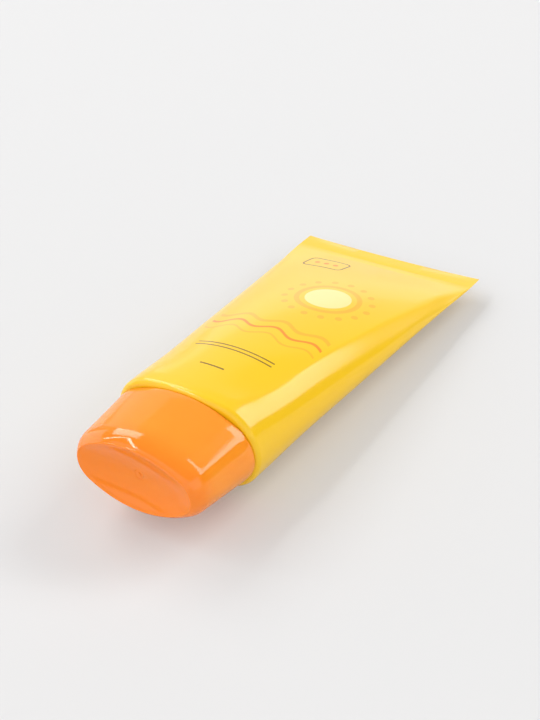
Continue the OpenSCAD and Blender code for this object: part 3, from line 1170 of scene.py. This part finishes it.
# Table, light and camera
studio = {
    "table": "#DADADA",
    "backdrop": "#EFEFEF",
    "air": "#FFFDFD",
    "fill": 0.42,
    "darkWay": (0.56, 0.80, 0.2),
    "darkCore": 24.0,
    "darkSpread": 36.0,
    "darkFill": 0.06,
    "glow": 0.2,
    "tableSize": 6.0,
    "tableDrop": 0.05,
    "away": 3.0,
    "strips": [
        # name, direction of one end and of the other, width for each unit of distance, radiance
        ("rightBox", (0.18, 0.655, 0.69), (0.73, 0.55, 0.38), 0.34, 5.0),
        ("rightTube", (0.18, 0.655, 0.69), (0.73, 0.55, 0.38), 0.045, 11.0),
        ("leftWindow", (-0.642, 0.484, 0.595), (-0.677, 0.083, 0.731), 0.44, 4.8),
        ("leftRail", (-0.602, -0.010, 0.799), (-0.456, -0.489, 0.743), 0.05, 16.0),
        ("leftPost", (-0.861, -0.231, 0.454), (-0.629, -0.011, 0.777), 0.045, 12.0),
        ("paleWall", (-0.83, 0.48, 0.29), (-0.07, 0.95, 0.29), 0.62, 0.35),
        ("lowWall", (-0.72, 0.69, 0.12), (-0.24, 0.96, 0.12), 0.24, 0.5),
        ("leftWall", (-0.93, 0.30, 0.2), (-0.93, -0.35, 0.2), 0.45, 1.2),
        ("rightWall", (0.92, 0.22, 0.3), (0.78, -0.55, 0.3), 0.6, 1.0),
        ("frontPanel", (-0.80, -0.50, 0.33), (0.75, -0.55, 0.33), 1.0, 0.8),
    ],
}


def makeTable():
    # for the camera the board is partly lit from within, so the tube's shadow stays light
    material, tree = newMaterial("matt white board")
    seen = addNode(tree, "ShaderNodeLightPath")
    share = addNode(tree, "ShaderNodeMath", {"operation": "MULTIPLY"}, {
        0: seen.outputs["Is Camera Ray"], 1: studio["glow"]
    })
    board = addNode(tree, "ShaderNodeBsdfDiffuse", {}, {"Color": linear(studio["table"])})
    glow = addNode(tree, "ShaderNodeEmission", {}, {"Color": linear(studio["backdrop"]), "Strength": 1.0})
    mix = addNode(tree, "ShaderNodeMixShader", {}, {
        0: share.outputs[0], 1: board.outputs[0], 2: glow.outputs[0]
    })
    addNode(tree, "ShaderNodeOutputMaterial", {}, {"Surface": mix.outputs[0]})
    deselectAll()
    bpy.ops.mesh.primitive_plane_add(size=studio["tableSize"], location=(0, 0, -studio["tableDrop"] * mm))
    table = bpy.context.object
    table.name = "table"
    table.data.materials.append(material)


def makeLamps():
    # each lamp is a long rectangle between two directions, far enough off to light the table evenly
    for name, first, second, width, radiance in studio["strips"]:
        ends = [Vector(first).normalized(), Vector(second).normalized()]
        away = (ends[0] + ends[1]).normalized()
        place = away * studio["away"]
        reach = [end * (studio["away"] / end.dot(away)) for end in ends]
        along = reach[1] - reach[0]
        deselectAll()
        bpy.ops.object.light_add(type="AREA", location=place)
        lamp = bpy.context.object
        lamp.name = name
        lamp.data.shape = "RECTANGLE"
        lamp.data.size = along.length
        lamp.data.size_y = width * studio["away"]
        lamp.data.energy = radiance * math.pi * lamp.data.size * lamp.data.size_y
        across = away.cross(along).normalized()
        lamp.rotation_mode = "QUATERNION"
        lamp.rotation_quaternion = Matrix((along.normalized(), across, away)).transposed().to_quaternion()


def makeWorld():
    world = bpy.data.worlds.new("studio air")
    bpy.context.scene.world = world
    world.use_nodes = True
    tree = world.node_tree
    tree.nodes.clear()
    seen = addNode(tree, "ShaderNodeLightPath")
    # the open, unlit side of the room, behind the tube on its right
    way = addNode(tree, "ShaderNodeTexCoord").outputs["Generated"]
    facing = addNode(tree, "ShaderNodeVectorMath", {"operation": "DOT_PRODUCT"}, {
        0: way, 1: Vector(studio["darkWay"]).normalized()
    })
    level = addNode(tree, "ShaderNodeMapRange", {"interpolation_type": "SMOOTHSTEP"}, {
        "Value": facing.outputs["Value"],
        "From Min": math.cos(studio["darkSpread"] * radian),
        "From Max": math.cos(studio["darkCore"] * radian),
        "To Min": studio["fill"],
        "To Max": studio["darkFill"],
    })
    air = addNode(tree, "ShaderNodeBackground", {}, {
        "Color": linear(studio["air"]), "Strength": level.outputs["Result"]
    })
    drop = addNode(tree, "ShaderNodeBackground", {}, {"Color": linear(studio["backdrop"]), "Strength": 1.0})
    mix = addNode(tree, "ShaderNodeMixShader", {}, {
        0: seen.outputs["Is Camera Ray"], 1: air.outputs[0], 2: drop.outputs[0]
    })
    addNode(tree, "ShaderNodeOutputWorld", {}, {"Surface": mix.outputs[0]})


# The camera, fitted to the photo's outline of the tube
camera = {
    "place": (193.36, -253.30, 247.92),
    "azimuth": 37.716,
    "elevation": 36.662,
    "roll": -7.109,
    "focalPixels": 1361.5,
    "imageHeight": 720,
    "sensor": 36.0,
    "clip": 10.0,
}


def makeCamera():
    azimuth, elevation = camera["azimuth"] * radian, camera["elevation"] * radian
    flatShare = math.cos(elevation)
    back = Vector((math.sin(azimuth) * flatShare, -math.cos(azimuth) * flatShare, math.sin(elevation)))
    deselectAll()
    bpy.ops.object.camera_add(location=Vector(camera["place"]) * mm)
    view = bpy.context.object
    view.data.sensor_width = camera["sensor"]
    view.data.lens = camera["focalPixels"] * camera["sensor"] / camera["imageHeight"]
    view.rotation_mode = "QUATERNION"
    rolled = Matrix.Rotation(camera["roll"] * radian, 3, back)
    upright = (-back).to_track_quat("-Z", "Y").to_matrix()
    view.rotation_quaternion = (rolled @ upright).to_quaternion()
    view.data.clip_start = camera["clip"] * mm
    bpy.context.scene.camera = view


makeTable()
makeLamps()
makeWorld()
makeCamera()
bpy.context.scene.view_settings.view_transform = "Standard"
print("studio set")
